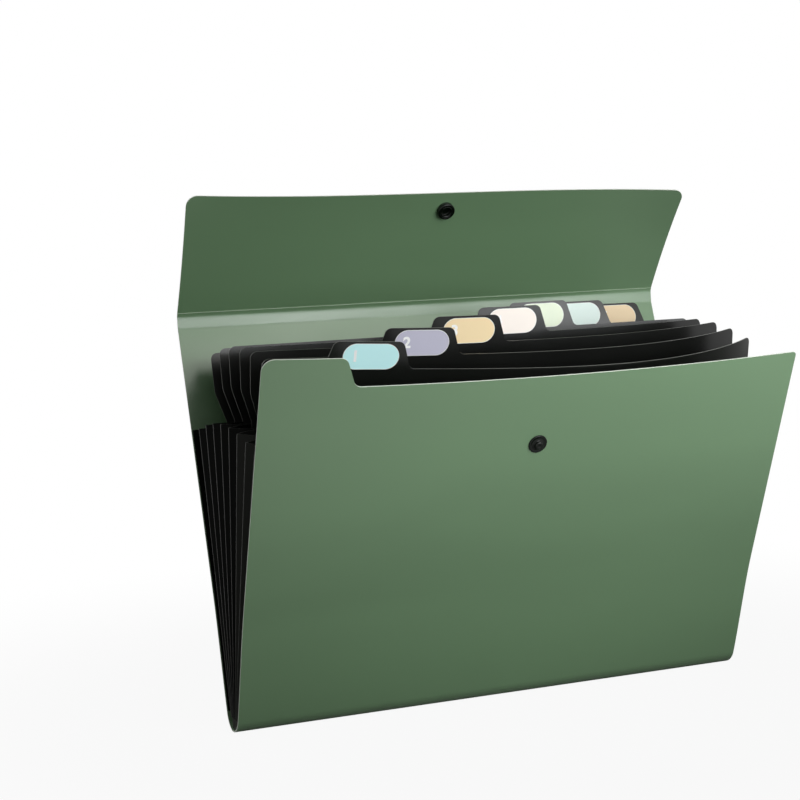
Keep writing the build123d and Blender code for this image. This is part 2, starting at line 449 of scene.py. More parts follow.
def surface(point):
    """Place function with a normal, from a function that gives points of a curved sheet."""
    reach = NORMAL_REACH * MM

    def place(x, h):
        across = point(x + reach, h) - point(x - reach, h)
        along = point(x, h + reach) - point(x, h - reach)
        return point(x, h), across.cross(along).normalized()

    return place


def raised(place, rise):
    """Place function for a layer that lies above another one."""

    def lifted(x, h):
        middle, normal = place(x, h)
        return middle + normal * rise, normal

    return lifted


def curved_sheet(name, loop, step, place, thickness, materials):
    """Sheet over an outline, laid on a curved surface."""
    corners, triangles = filled(loop, step)
    middle = [place(corner.x, corner.y) for corner in corners]
    return two_layers(name, middle, triangles, thickness, materials)


def strip(name, path, low_x, high_x, thickness, materials, parts=24):
    """Strip that keeps one cross-section along the width; its path runs across the fold."""
    middle = []
    for number, point in enumerate(path):
        before = path[max(number - 1, 0)]
        after = path[min(number + 1, len(path) - 1)]
        normal = X_AXIS.cross(after - before).normalized()
        for part in range(parts + 1):
            x = low_x + (high_x - low_x) * part / parts
            middle.append((Vector((x, point.y, point.z)), normal))
    return two_layers(name, middle, grid_faces(len(path) - 1, parts), thickness, materials)


def arc_path(start, corner, end, parts=10):
    """Smooth path from start to end, tangent to both legs of a corner."""
    path = []
    for part in range(parts + 1):
        t = part / parts
        path.append(start * (1 - t) ** 2 + corner * (2 * t * (1 - t)) + end * t ** 2)
    return path


def ring_of(bm, centre, side, other, radius, segments):
    """Ring of points round a centre, in the plane of two directions."""
    ring = []
    for number in range(segments):
        angle = math.tau * number / segments
        direction = side * math.cos(angle) + other * math.sin(angle)
        ring.append(bm.verts.new(centre + direction * radius))
    return ring


def join_rings(bm, lower, upper):
    """Faces between two rings, or between a ring and a single point."""
    segments = max(len(lower), len(upper))
    for number in range(segments):
        after = (number + 1) % segments
        if len(lower) == 1:
            bm.faces.new((lower[0], upper[number], upper[after]))
        elif len(upper) == 1:
            bm.faces.new((lower[number], lower[after], upper[0]))
        else:
            bm.faces.new((lower[number], lower[after], upper[after], upper[number]))


def lathe(name, profile, centre, axis, materials, segments=64):
    """Turned piece: profile pairs of radius and height run round an axis."""
    side = X_AXIS
    other = axis.cross(side).normalized()
    bm = bmesh.new()
    rings = []
    for radius, height in profile:
        level = centre + axis * height
        if radius == 0:
            rings.append([bm.verts.new(level)])
        else:
            rings.append(ring_of(bm, level, side, other, radius, segments))
    for lower, upper in zip(rings, rings[1:]):
        join_rings(bm, lower, upper)
    return new_piece(name, bm, materials)


# Materials


def node_tree(name):
    """Empty procedural material: its nodes, its links and a shader that feeds the output."""
    material = bpy.data.materials.new(name)
    material.use_nodes = True
    tree = material.node_tree
    tree.nodes.clear()
    output = tree.nodes.new("ShaderNodeOutputMaterial")
    shader = tree.nodes.new("ShaderNodeBsdfPrincipled")
    tree.links.new(shader.outputs["BSDF"], output.inputs["Surface"])
    return material, tree, shader


def noise_of(tree, coordinate, scale, detail, stretch=(1, 1, 1)):
    """Noise over the piece, with a stretch for each direction."""
    mapping = tree.nodes.new("ShaderNodeMapping")
    mapping.inputs["Scale"].default_value = stretch
    tree.links.new(coordinate.outputs["Object"], mapping.inputs["Vector"])
    grain = tree.nodes.new("ShaderNodeTexNoise")
    grain.inputs["Scale"].default_value = scale
    grain.inputs["Detail"].default_value = detail
    tree.links.new(mapping.outputs["Vector"], grain.inputs["Vector"])
    return grain


def ranged(tree, source, low, high):
    """Value between low and high that follows a noise."""
    remap = tree.nodes.new("ShaderNodeMapRange")
    remap.interpolation_type = "SMOOTHSTEP"
    remap.inputs["From Min"].default_value = NOISE_LOW
    remap.inputs["From Max"].default_value = NOISE_HIGH
    remap.inputs["To Min"].default_value = low
    remap.inputs["To Max"].default_value = high
    tree.links.new(source.outputs["Fac"], remap.inputs["Value"])
    return remap


def bump_of(tree, source, strength, depth):
    """Bump that follows a noise."""
    bump = tree.nodes.new("ShaderNodeBump")
    bump.inputs["Strength"].default_value = strength
    bump.inputs["Distance"].default_value = depth
    tree.links.new(source.outputs["Fac"], bump.inputs["Height"])
    return bump


def plastic(name, colour, spread, roughness, rough_spread, grain_scale, grain_strength,
            specular=0.5, streak=(1, 1, 1), wave_strength=0.0):
    """Moulded or rolled plastic: mottled colour, uneven gloss, fine grain and slow waves."""
    material, tree, shader = node_tree(name)
    coordinate = tree.nodes.new("ShaderNodeTexCoord")
    mottle = noise_of(tree, coordinate, MOTTLE_SCALE, detail=2.0, stretch=streak)
    mix = tree.nodes.new("ShaderNodeMix")
    mix.data_type = "RGBA"
    dark = [value * (1 - spread) for value in colour]
    light = [min(1.0, value * (1 + spread)) for value in colour]
    mix.inputs["A"].default_value = (*dark, 1)
    mix.inputs["B"].default_value = (*light, 1)
    share = ranged(tree, mottle, 0.0, 1.0)
    tree.links.new(share.outputs["Result"], mix.inputs["Factor"])
    tree.links.new(mix.outputs["Result"], shader.inputs["Base Color"])
    patches = noise_of(tree, coordinate, PATCH_SCALE, detail=1.0, stretch=streak)
    gloss = ranged(tree, patches, roughness - rough_spread, roughness + rough_spread)
    tree.links.new(gloss.outputs["Result"], shader.inputs["Roughness"])
    shader.inputs["Specular IOR Level"].default_value = specular
    grain = noise_of(tree, coordinate, grain_scale, detail=2.0)
    relief = bump_of(tree, grain, grain_strength, GRAIN_DEPTH)
    if wave_strength:
        waves = noise_of(tree, coordinate, WAVE_SCALE, detail=1.0)
        slow = bump_of(tree, waves, wave_strength, WAVE_DEPTH)
        tree.links.new(relief.outputs["Normal"], slow.inputs["Normal"])
        relief = slow
    tree.links.new(relief.outputs["Normal"], shader.inputs["Normal"])
    return material


def film_plastic(name, colour):
    """Thin gusset film, with slow waves in it."""
    return plastic(name, colour, spread=0.3, roughness=0.34, rough_spread=0.06, grain_scale=1600.0,
                   grain_strength=0.1, specular=0.035, streak=(1, 1, 0.5), wave_strength=0.12)


def label_plastic(number):
    """Printed face of one index label."""
    return plastic(f"sticker_{number}", LABEL_COLOURS[number - 1], spread=0.03, roughness=0.55,
                   rough_spread=0.05, grain_scale=1800.0, grain_strength=0.01, specular=0.1)


COVER = plastic("cover_green", (0.137, 0.237, 0.126), spread=0.05, roughness=0.32, rough_spread=0.03,
                grain_scale=2600.0, grain_strength=0.08, specular=0.75, streak=(0.35, 1, 1))
COVER_EDGE = plastic("cover_cut_edge", (0.80, 0.86, 0.76), spread=0.12, roughness=0.5,
                     rough_spread=0.08, grain_scale=1800.0, grain_strength=0.2)
CREASE = plastic("cover_crease", (0.15, 0.252, 0.138), spread=0.1, roughness=0.34, rough_spread=0.03,
                 grain_scale=1500.0, grain_strength=0.15)
DIVIDER = plastic("divider_black", (0.004, 0.0043, 0.0037), spread=0.2, roughness=0.32,
                  rough_spread=0.03, grain_scale=2600.0, grain_strength=0.06, specular=0.42,
                  streak=(0.35, 1, 1))
DIVIDER_EDGE = plastic("divider_cut_edge", (0.10, 0.105, 0.09), spread=0.3, roughness=0.4,
                       rough_spread=0.08, grain_scale=1800.0, grain_strength=0.2)
FILM = film_plastic("gusset_film", (0.004, 0.0043, 0.0037))
FILM_FRONT = film_plastic("gusset_film_front", (0.037, 0.038, 0.034))
FILM_EDGE = plastic("gusset_edge", (0.05, 0.052, 0.047), spread=0.3, roughness=0.36,
                    rough_spread=0.06, grain_scale=1600.0, grain_strength=0.1)
SNAP = plastic("snap_black", (0.002, 0.004, 0.002), spread=0.2, roughness=0.15, rough_spread=0.04,
               grain_scale=900.0, grain_strength=0.03, specular=0.25)
LABEL_COLOURS = [
    (0.60, 0.93, 0.95), (0.53, 0.52, 0.63), (0.90, 0.72, 0.44), (0.95, 0.87, 0.80),
    (0.82, 0.90, 0.72), (0.73, 0.85, 0.80), (0.84, 0.67, 0.45),
]
STICKER = plastic("sticker_border", (0.86, 0.87, 0.84), spread=0.03, roughness=0.45,
                  rough_spread=0.05, grain_scale=1800.0, grain_strength=0.06)
DIGIT = plastic("digit_white", (0.93, 0.93, 0.92), spread=0.02, roughness=0.5, rough_spread=0.04,
                grain_scale=1800.0, grain_strength=0.04)

# Cover sheet: front, back, spine strip, flap, foot and creases

front = Sheet("front_cover", "front_cover_fold")
back = Sheet("back_cover", "fan_fold")
spine = Sheet("spine_strip", "spine_fold")
flap = Sheet("closure_flap", "flap_fold")
HALF = max(corner.x for corner in front.outline)
FRONT_TOP = max(corner.y for corner in front.outline)
SPINE_TOP = max(corner.y for corner in spine.outline)
FLAP_TIP = max(corner.y for corner in flap.outline)
COVER_T = front.thickness
FOOT_Z = COVER_T / 2
SPLIT = FOOT_BULGE_TOP * MM
CREASE_HALF = CREASE_REACH * MM


def above(sheet, height):
    """Outline of a cover sheet from a height on it upwards."""
    count = len(sheet.outline)
    kept = [corner.y > height for corner in sheet.outline]
    start = next(number for number in range(count) if kept[number] and not kept[number - 1])
    upper = []
    for number in range(start, start + count):
        if kept[number % count]:
            upper.append(sheet.outline[number % count])
    return upper + [Vector((-HALF, height)), Vector((HALF, height))]


def foot_bulge(h):
    """How far a cover sheet swells outwards above its fold, like any sheet bent into a loop."""
    share = min(max(h / SPLIT, 0.0), 1.0)
    return FOOT_BULGE * MM * (1 - share) ** 2 * (1 + 2 * share)


def front_point(x, h):
    """Point of the front cover: it swells at the foot and bows forward towards its top."""
    share = max(h - SPLIT, 0.0) / (FRONT_TOP - SPLIT)
    bow = FRONT_BOW * MM * share ** BOW_POWER * (1 - (x / HALF) ** 2)
    return front.point(x, h, bow + foot_bulge(h))


def back_point(x, h):
    """Point of the back cover, which swells at the foot."""
    return back.point(x, h, -foot_bulge(h))


def spine_point(x, h):
    """Point of the spine strip, which leans back up to its peak and folds forward above it."""
    share = h / SPINE_TOP
    if share < SPINE_PEAK:
        rise = share / SPINE_PEAK
    else:
        rise = (1 - share) / (1 - SPINE_PEAK)
    return spine.point(x, h, -SPINE_ARCH * MM * rise)


def flap_point(x, d):
    """Point of the flap, whose right end curls forward and whose left end curls back."""
    return flap.point(x, d, FLAP_CURL * MM * (d / FLAP_TIP) ** 2 * (x / HALF) ** 3)


def plain_seam(piece, sheet):
    """Sheet colour and sharp edges for the rim faces along the seam of the two parts of a cover."""
    mesh = piece.data
    seam_edges = set()
    for face in mesh.polygons:
        heights = [sheet.flat(mesh.vertices[index].co).y for index in face.vertices]
        if max(abs(height - SPLIT) for height in heights) < SEAM_REACH * MM:
            face.material_index = 0
            seam_edges.update(face.edge_keys)
    for edge in mesh.edges:
        if edge.key in seam_edges:
            edge.use_edge_sharp = True


def foot_bend(name, sheet, point, outward, body):
    """Round fold from the base strip to one cover sheet, and the swollen part of the sheet."""
    low = FOOT_END * MM
    start = Vector((0, outward * FOOT_FLAT * MM, FOOT_Z))
    end = point(0, low)
    rising = (point(0, low + MM) - point(0, low)).normalized()
    pull = (end - start).length
    path = []
    for part in range(BEND_PARTS + 1):
        t = part / BEND_PARTS
        path.append(start * (1 - 3 * t ** 2 + 2 * t ** 3) + end * (3 * t ** 2 - 2 * t ** 3)
                    + Y_AXIS * outward * pull * (t - 2 * t ** 2 + t ** 3)
                    + rising * pull * (t ** 3 - t ** 2))
    rows = round((SPLIT - low) / (FOOT_STEP * MM))
    path += [point(0, low + (SPLIT - low) * row / rows) for row in range(1, rows + 1)]
    piece = strip(name, path, -HALF, HALF, COVER_T, (COVER, COVER_EDGE))
    plain_seam(piece, sheet)
    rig.blend(piece, "base", body, start, end)
    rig.slot(piece, "cover_sheet")


def crease(name, start, hinge, end, lower_body, upper_body):
    """Living hinge between two panels of the cover, thinner than the sheet."""
    piece = strip(name, arc_path(start, hinge, end), -HALF, HALF, CREASE_T * MM,
                  (CREASE, COVER_EDGE))
    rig.blend(piece, lower_body, upper_body, start, end)
    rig.slot(piece, "cover_sheet")


front_place = surface(front_point)
front_sheet = curved_sheet("front_panel", above(front, SPLIT), COVER_STEP * MM, front_place,
                           COVER_T, (COVER, COVER_EDGE))
plain_seam(front_sheet, front)
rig.ride(front_sheet, "front_cover")
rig.squash(front_sheet, "fan_fold", front.front, front.origin, FRONT_KEEP)
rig.replaces(front_sheet, "front_cover")
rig.slot(front_sheet, "cover_sheet")

back_sheet = curved_sheet("back_panel", above(back, SPLIT), COVER_STEP * MM, surface(back_point),
                          COVER_T, (COVER, COVER_EDGE))
plain_seam(back_sheet, back)
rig.ride(back_sheet, "back_cover")
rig.replaces(back_sheet, "back_cover")
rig.slot(back_sheet, "cover_sheet")

spine_sheet = curved_sheet("spine_panel", spine.outline, SPINE_STEP * MM, surface(spine_point),
                           COVER_T, (COVER, COVER_EDGE))
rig.ride(spine_sheet, "spine_strip")
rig.replaces(spine_sheet, "spine_strip")
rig.slot(spine_sheet, "cover_sheet")

flap_sheet = curved_sheet("flap_panel", flap.outline, COVER_STEP * MM, surface(flap_point),
                          COVER_T, (COVER, COVER_EDGE))
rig.ride(flap_sheet, "closure_flap")
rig.squash(flap_sheet, "flap_fold", flap.front, flap.origin, FLAP_KEEP)
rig.replaces(flap_sheet, "closure_flap")
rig.slot(flap_sheet, "cover_sheet")

foot_bend("front_foot_bend", front, front_point, -1, "front_cover")
foot_bend("back_foot_bend", back, back_point, 1, "back_cover")
foot_path = []
for foot_part in range(-FOOT_PARTS, FOOT_PARTS + 1):
    foot_path.append(Vector((0, FOOT_FLAT * MM * foot_part / FOOT_PARTS, FOOT_Z)))
foot_strip = strip("foot_panel", foot_path, -HALF, HALF, COVER_T, (COVER, COVER_EDGE))
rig.ride(foot_strip, "base")
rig.replaces(foot_strip, "cover_base")
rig.slot(foot_strip, "cover_sheet")

crease("lower_crease", spine.origin - back.up * CREASE_HALF, spine.origin,
       spine_point(0, CREASE_HALF), "back_cover", "spine_strip")
crease("upper_crease", spine_point(0, SPINE_TOP - CREASE_HALF), flap.origin,
       flap.origin + flap.up * CREASE_HALF, "spine_strip", "closure_flap")

# Glued margins of the gussets, along the line where the gussets meet the sheets

VALLEY_FOOT = abs(JOINTS["left_pleat_1_rear_fold"]["pos_m"][0])
valley_axis = Vector(JOINTS["left_pleat_1_rear_fold"]["axis"])
VALLEY_SLOPE = abs(valley_axis.x) / math.hypot(valley_axis.y, valley_axis.z)
GUSSET_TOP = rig.box("left_pleat_4_rear")[1][2]


def flange_piece(name, side, point, inward, body):
    """Glued margin of the gusset film on the inner face of a cover, from its fold to the edge."""
    rows, columns = 24, 3
    foot = FLANGE_FOOT * MM
    edge = HALF - FLANGE_MARGIN * MM
    lift = inward * (COVER_T + FLANGE_T * MM) / 2
    place = surface(point)
    middle = []
    for row in range(rows + 1):
        h = foot + (GUSSET_TOP - foot) * row / rows
        valley = VALLEY_FOOT - VALLEY_SLOPE * h
        for column in range(columns + 1):
            x = side * (valley + (edge - valley) * column / columns)
            centre, normal = place(x, h)
            middle.append((centre + normal * lift, normal))
    faces = grid_faces(rows, columns)
    if side < 0:
        faces = [corners[::-1] for corners in faces]
    piece = two_layers(name, middle, faces, FLANGE_T * MM, (FILM, FILM_EDGE))
    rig.ride(piece, body)
    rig.slot(piece, "gusset_film")
    return piece


for end_name, end_side in (("left", -1), ("right", 1)):
    flange_piece(f"{end_name}_back_flange", end_side, back_point, 1, "back_cover")
    front_flange = flange_piece(f"{end_name}_front_flange", end_side, front_point, -1, "front_cover")
    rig.squash(front_flange, "fan_fold", front.front, front.origin, FRONT_KEEP)

# Dividers with their labels


def divider_surface(sheet, number):
    """Curved surface of one divider: it bows forward towards its top, and its tab curls back."""
    shoulder = max(corner.y for corner in sheet.outline if abs(corner.x) > SHOULDER_REACH * HALF)
    top_edge = max(corner.y for corner in sheet.outline)
    tab_foot = TAB_FOOT * MM
    amount = DIVIDER_BOWS[number - 1] * MM
    curl = TAB_CURLS[number - 1] * MM
    skew = DIVIDER_SKEW

    def point(x, h):
        half = VALLEY_FOOT - VALLEY_SLOPE * min(max(h, 0.0), GUSSET_TOP)
        share = x / half
        top = amount * max(h / shoulder, 0.0) ** BOW_POWER
        bow = top * (1 - share ** 2) * (1 + skew * share)
        # A bowed sheet keeps its length: it draws in by half the square of its slope, summed up
        drawn_in = (skew ** 2 * share - 2 * skew * share ** 2
                    + (4 - 6 * skew ** 2) / 3 * share ** 3
                    + 3 * skew * share ** 4 + 9 / 5 * skew ** 2 * share ** 5)
        lean = curl * max((h - tab_foot) / (top_edge - tab_foot), 0.0) ** 2
        return sheet.point(x - top ** 2 / (2 * half) * drawn_in, h, bow - lean)

    return surface(point)


def digit_piece(number, place, digit_x, digit_h, rise):
    """Printed number of one label, bent onto the surface of its divider."""
    text = bpy.data.curves.new(f"digit_{number}", "FONT")
    text.body = str(number)
    text.align_x = "CENTER"
    text.align_y = "CENTER"
    text.size = DIGIT_HEIGHT * MM / DIGIT_CAP
    text.offset = DIGIT_WEIGHT * MM
    text.extrude = DIGIT_HALF_T * MM
    drawn = bpy.data.objects.new(f"digit_text_{number}", text)
    bpy.context.scene.collection.objects.link(drawn)
    mesh = bpy.data.meshes.new_from_object(drawn)
    bpy.data.objects.remove(drawn)
    for vertex in mesh.vertices:
        middle, normal = place(digit_x + vertex.co.x, digit_h + vertex.co.y)
        vertex.co = middle + normal * (rise + vertex.co.z)
    mesh.materials.clear()
    mesh.materials.append(DIGIT)
    digit = bpy.data.objects.new(f"index_digit_{number}", mesh)
    bpy.context.scene.collection.objects.link(digit)
    return digit


def label_pieces(number, place):
    """Sticker, printed face and digit of one label, on the surface of its divider."""
    outline = Sheet(f"index_label_{number}", f"divider_{number}_fold").outline
    low = Vector((min(corner.x for corner in outline), min(corner.y for corner in outline)))
    high = Vector((max(corner.x for corner in outline), max(corner.y for corner in outline)))
    centre = (low + high) / 2
    size = high - low
    border = 2 * STICKER_BORDER * MM
    inset = Vector((1 - border / size.x, 1 - border / size.y))
    printed = [centre + (corner - centre) * inset for corner in outline]
    base_rise = (DIVIDER_VISIBLE_T + STICKER_T) / 2 * MM
    face_rise = base_rise + PRINT_RISE * MM
    digit_rise = face_rise + (STICKER_T / 2 + DIGIT_RISE) * MM
    colour = label_plastic(number)
    sticker = curved_sheet(f"index_sticker_{number}", outline, LABEL_STEP * MM,
                           raised(place, base_rise), STICKER_T * MM, (STICKER, STICKER))
    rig.replaces(sticker, f"index_label_{number}")
    face = curved_sheet(f"index_print_{number}", printed, LABEL_STEP * MM,
                        raised(place, face_rise), STICKER_T * MM, (colour, colour))
    digit = digit_piece(number, place, low.x + size.x * DIGIT_PLACE, centre.y, digit_rise)
    return [sticker, face, digit]


def divider_piece(number):
    """One divider with its label."""
    sheet = Sheet(f"divider_{number}", f"divider_{number}_fold")
    place = divider_surface(sheet, number)
    piece = curved_sheet(f"divider_sheet_{number}", sheet.outline, DIVIDER_STEP * MM, place,
                         DIVIDER_VISIBLE_T * MM, (DIVIDER, DIVIDER_EDGE))
    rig.replaces(piece, f"divider_{number}")
    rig.slot(piece, "divider_sheet")
    label = label_pieces(number, place)
    for part in [piece] + label:
        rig.ride(part, f"divider_{number}")
        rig.squash(part, "fan_fold", sheet.front, sheet.origin, DIVIDER_KEEP)
    for part in label:
        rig.slot(part, f"label_{number}")


DIVIDERS = len(DIVIDER_BOWS)
for divider in range(1, DIVIDERS + 1):
    divider_piece(divider)

# Gussets


def film_corners(node):
    """Low and high corners of a facet, on its valley side and on its ridge side, and its normal."""
    mesh = frame["nodes"][node].data
    widest = max(mesh.polygons, key=lambda face: face.area)
    normal = widest.normal.normalized()
    depths = [vertex.co.dot(normal) for vertex in mesh.vertices]
    loop = outer_loop(mesh, normal)
    middle = (max(depths) + min(depths)) / 2
    corners = [corner + normal * (middle - corner.dot(normal)) for corner in loop]
    corners.sort(key=lambda corner: corner.z)
    lower = sorted(corners[:2], key=lambda corner: abs(corner.x))
    upper = sorted(corners[-2:], key=lambda corner: abs(corner.x))
    return lower[0], lower[1], upper[0], upper[1], normal


def film_piece(side, pocket, end):
    """One gusset facet as thin film that bulges and waves a little between its folds."""
    node = f"{side}_pleat_{pocket}_{end}"
    low_valley, low_ridge, high_valley, high_ridge, normal = film_corners(node)
    if normal.y > 0:
        normal = -normal
    outward = 1 if end == "front" else -1
    phase = pocket * POCKET_SHIFT
    if side == "left":
        phase += LEFT_SHIFT
    if end == "rear":
        phase += REAR_SHIFT
    rows, columns = 30, 8
    grid = []
    for row in range(rows + 1):
        u = row / rows
        valley = low_valley.lerp(high_valley, u)
        ridge = low_ridge.lerp(high_ridge, u)
        width = (ridge - valley).length
        for column in range(columns + 1):
            v = column / columns
            hump = math.sin(math.pi * v)
            turn = math.tau * (WAVES_UP * u + WAVES_ACROSS * v)
            wave = FILM_WAVE * MM * u * math.sin(turn + phase)
            offset = hump * (FILM_BULGE * width * outward + wave)
            grid.append(valley.lerp(ridge, v) + normal * offset)
    middle = []
    for row in range(rows + 1):
        for column in range(columns + 1):
            left = grid[row * (columns + 1) + max(column - 1, 0)]
            right = grid[row * (columns + 1) + min(column + 1, columns)]
            under = grid[max(row - 1, 0) * (columns + 1) + column]
            over = grid[min(row + 1, rows) * (columns + 1) + column]
            facing = (right - left).cross(over - under).normalized()
            middle.append((grid[row * (columns + 1) + column], facing))
    film = FILM_FRONT if pocket <= FRONT_PLEATS else FILM
    piece = two_layers(f"{side}_film_{pocket}_{end}", middle, grid_faces(rows, columns),
                       FILM_T * MM, (film, FILM_EDGE))
    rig.ride(piece, node)
    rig.squash(piece, "fan_fold", normal, low_valley, FILM_KEEP)
    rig.replaces(piece, node)
    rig.slot(piece, "gusset_film")
    return low_ridge, high_ridge


def fold_piece(side, pocket, low, high):
    """Rounded outer fold of one pleat, from its foot to its top."""
    along = (high - low).normalized()
    across = along.cross(X_AXIS).normalized()
    out = across.cross(along).normalized()
    bm = bmesh.new()
    rings = []
    rows, segments = 12, 10
    for row in range(rows + 1):
        radius = FOLD_R * MM * (FOLD_FOOT + (1 - FOLD_FOOT) * row / rows)
        rings.append(ring_of(bm, low.lerp(high, row / rows), across, out, radius, segments))
    for lower, upper in zip(rings, rings[1:]):
        join_rings(bm, lower, upper)
    for ring in (rings[0], rings[-1]):
        cap = bm.faces.new(ring)
        for edge in cap.edges:
            edge.smooth = False
    piece = new_piece(f"{side}_fold_{pocket}", bm, (FILM_EDGE,))
    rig.ride(piece, f"{side}_pleat_{pocket}_front")
    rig.slot(piece, "gusset_film")


for gusset in ("left", "right"):
    for pleat in range(1, DIVIDERS + 2):
        first_low, first_high = film_piece(gusset, pleat, "front")
        second_low, second_high = film_piece(gusset, pleat, "rear")
        fold_piece(gusset, pleat, (first_low + second_low) / 2, (first_high + second_high) / 2)

# Snap fastener


def rounded(radius, low, high, edge):
    """Profile of a disc with a rounded upper edge."""
    profile = [(0, low), (radius - edge * LOWER_EDGE, low), (radius, low + edge * LOWER_EDGE)]
    for part in range(EDGE_PARTS + 1):
        angle = math.pi / 2 * part / EDGE_PARTS
        profile.append((radius - edge + edge * math.cos(angle), high - edge + edge * math.sin(angle)))
    return profile


def stepped(radius, level, steps):
    """Profile points from shares of a radius and rises from a level."""
    return [(radius * share, level + rise * MM) for share, rise in steps]


def node_extent(node, centre, axis):
    """Radius of a turned CAD piece, and its low and high ends along an axis."""
    heights = []
    radii = []
    for vertex in frame["nodes"][node].data.vertices:
        offset = vertex.co - centre
        height = offset.dot(axis)
        heights.append(height)
        radii.append((offset - axis * height).length)
    return max(radii), min(heights), max(heights)


def snap_height(sheet, node):
    """How far up its sheet the middle of a snap piece lies."""
    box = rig.box(node)
    middle = Vector([(low + high) / 2 for low, high in zip(box[0], box[1])])
    return sheet.flat(middle).y


def snap_piece(name, profile, centre, axis, node, body):
    """One turned piece of the snap fastener, on the front cover or on the flap."""
    piece = lathe(name, profile, centre, axis, (SNAP,))
    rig.ride(piece, body)
    if body == "front_cover":
        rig.squash(piece, "fan_fold", front.front, front.origin, FRONT_KEEP)
    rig.replaces(piece, node)
    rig.slot(piece, "snap_plastic")


snap_low = COVER_T / 2 - SNAP_SINK * MM
stud_h = snap_height(front, "front_snap_stud")
stud_base, stud_axis = front_place(0.0, stud_h)
flat_base = front.point(0.0, stud_h)
stud_r, _, stud_top = node_extent("front_snap_stud", flat_base, front.front)
flange_top = COVER_T / 2 + STUD_FLANGE * MM
stud_profile = rounded(stud_r, snap_low, flange_top, STUD_EDGE * MM)
stud_profile += stepped(stud_r, flange_top, STUD_GROOVE)
stud_profile += stepped(KNOB_R * MM, flange_top, KNOB_FOOT)
stud_profile += stepped(KNOB_R * MM, stud_top, KNOB_HEAD)
snap_piece("snap_stud", stud_profile, stud_base, stud_axis, "front_snap_stud", "front_cover")

inner_r, inner_end, _ = node_extent("front_snap_cap", flat_base, front.front)
inner_profile = rounded(inner_r, snap_low, -inner_end, INNER_CAP_EDGE * MM) + [(0, -inner_end)]
snap_piece("snap_inner_cap", inner_profile, stud_base, -stud_axis, "front_snap_cap", "front_cover")

socket_base = flap.point(0.0, snap_height(flap, "flap_snap_socket"))
socket_r, _, socket_top = node_extent("flap_snap_socket", socket_base, flap.front)
socket_profile = rounded(socket_r, snap_low, socket_top, SOCKET_EDGE * MM)
socket_profile += stepped(socket_r, socket_top, SOCKET_GROOVE)
socket_profile += [((BORE_R + width) * MM, socket_top + rise * MM) for width, rise in BORE_MOUTH]
socket_profile += stepped(BORE_R * MM, COVER_T / 2 + BORE_FLOOR * MM, BORE_END)
snap_piece("snap_socket", socket_profile, socket_base, flap.front, "flap_snap_socket", "closure_flap")

outer_r, outer_end, _ = node_extent("flap_snap_cap", socket_base, flap.front)
outer_profile = rounded(outer_r, snap_low, -outer_end, OUTER_CAP_EDGE * MM)
outer_profile += stepped(outer_r, -outer_end, CAP_DISH)
snap_piece("snap_outer_cap", outer_profile, socket_base, -flap.front, "flap_snap_cap", "closure_flap")

# Light, floor and camera


def area_light(name, place, target, width, height, power, colour, spread=180.0):
    """Soft light from a panel that looks at a target."""
    data = bpy.data.lights.new(name, "AREA")
    data.shape = "RECTANGLE"
    data.size = width
    data.size_y = height
    data.energy = power
    data.color = colour
    data.spread = math.radians(spread)
    light = bpy.data.objects.new(name, data)
    light.location = place
    look = Vector(target) - Vector(place)
    light.rotation_euler = look.to_track_quat("-Z", "Y").to_euler()
    light.visible_camera = False
    bpy.context.scene.collection.objects.link(light)
    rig.stage(light)


def seen_rays(tree, mirrored=None):
    """One for camera rays, and for glossy and transmission rays a share that a node may give."""
    path = tree.nodes.new("ShaderNodeLightPath")
    other = tree.nodes.new("ShaderNodeMath")
    other.operation = "ADD"
    tree.links.new(path.outputs["Is Glossy Ray"], other.inputs[0])
    tree.links.new(path.outputs["Is Transmission Ray"], other.inputs[1])
    total = tree.nodes.new("ShaderNodeMath")
    total.operation = "MULTIPLY_ADD"
    total.use_clamp = True
    tree.links.new(other.outputs["Value"], total.inputs[0])
    total.inputs[1].default_value = 1.0
    if mirrored:
        tree.links.new(mirrored.outputs["Result"], total.inputs[1])
    tree.links.new(path.outputs["Is Camera Ray"], total.inputs[2])
    return total


def fade_out(tree, stretch, near, far, low):
    """Value that grows from low to one with the distance from the middle of the floor."""
    coordinate = tree.nodes.new("ShaderNodeTexCoord")
    mapping = tree.nodes.new("ShaderNodeMapping")
    mapping.inputs["Scale"].default_value = stretch
    tree.links.new(coordinate.outputs["Object"], mapping.inputs["Vector"])
    length = tree.nodes.new("ShaderNodeVectorMath")
    length.operation = "LENGTH"
    tree.links.new(mapping.outputs["Vector"], length.inputs[0])
    fade = tree.nodes.new("ShaderNodeMapRange")
    fade.interpolation_type = "SMOOTHSTEP"
    fade.inputs["From Min"].default_value = near
    fade.inputs["From Max"].default_value = far
    fade.inputs["To Min"].default_value = low
    fade.inputs["To Max"].default_value = 1.0
    tree.links.new(length.outputs["Value"], fade.inputs["Value"])
    return fade


def make_world():
    """Even soft light from all round, seen as plain white."""
    world = bpy.data.worlds.new("studio")
    world.use_nodes = True
    tree = world.node_tree
    tree.nodes.clear()
    output = tree.nodes.new("ShaderNodeOutputWorld")
    soft = tree.nodes.new("ShaderNodeBackground")
    soft.inputs["Color"].default_value = WHITE
    soft.inputs["Strength"].default_value = WORLD_LIGHT
    seen = tree.nodes.new("ShaderNodeBackground")
    seen.inputs["Color"].default_value = WHITE
    seen.inputs["Strength"].default_value = 1.0
    mix = tree.nodes.new("ShaderNodeMixShader")
    tree.links.new(seen_rays(tree).outputs["Value"], mix.inputs["Fac"])
    tree.links.new(soft.outputs["Background"], mix.inputs[1])
    tree.links.new(seen.outputs["Background"], mix.inputs[2])
    tree.links.new(mix.outputs["Shader"], output.inputs["Surface"])
    bpy.context.scene.world = world


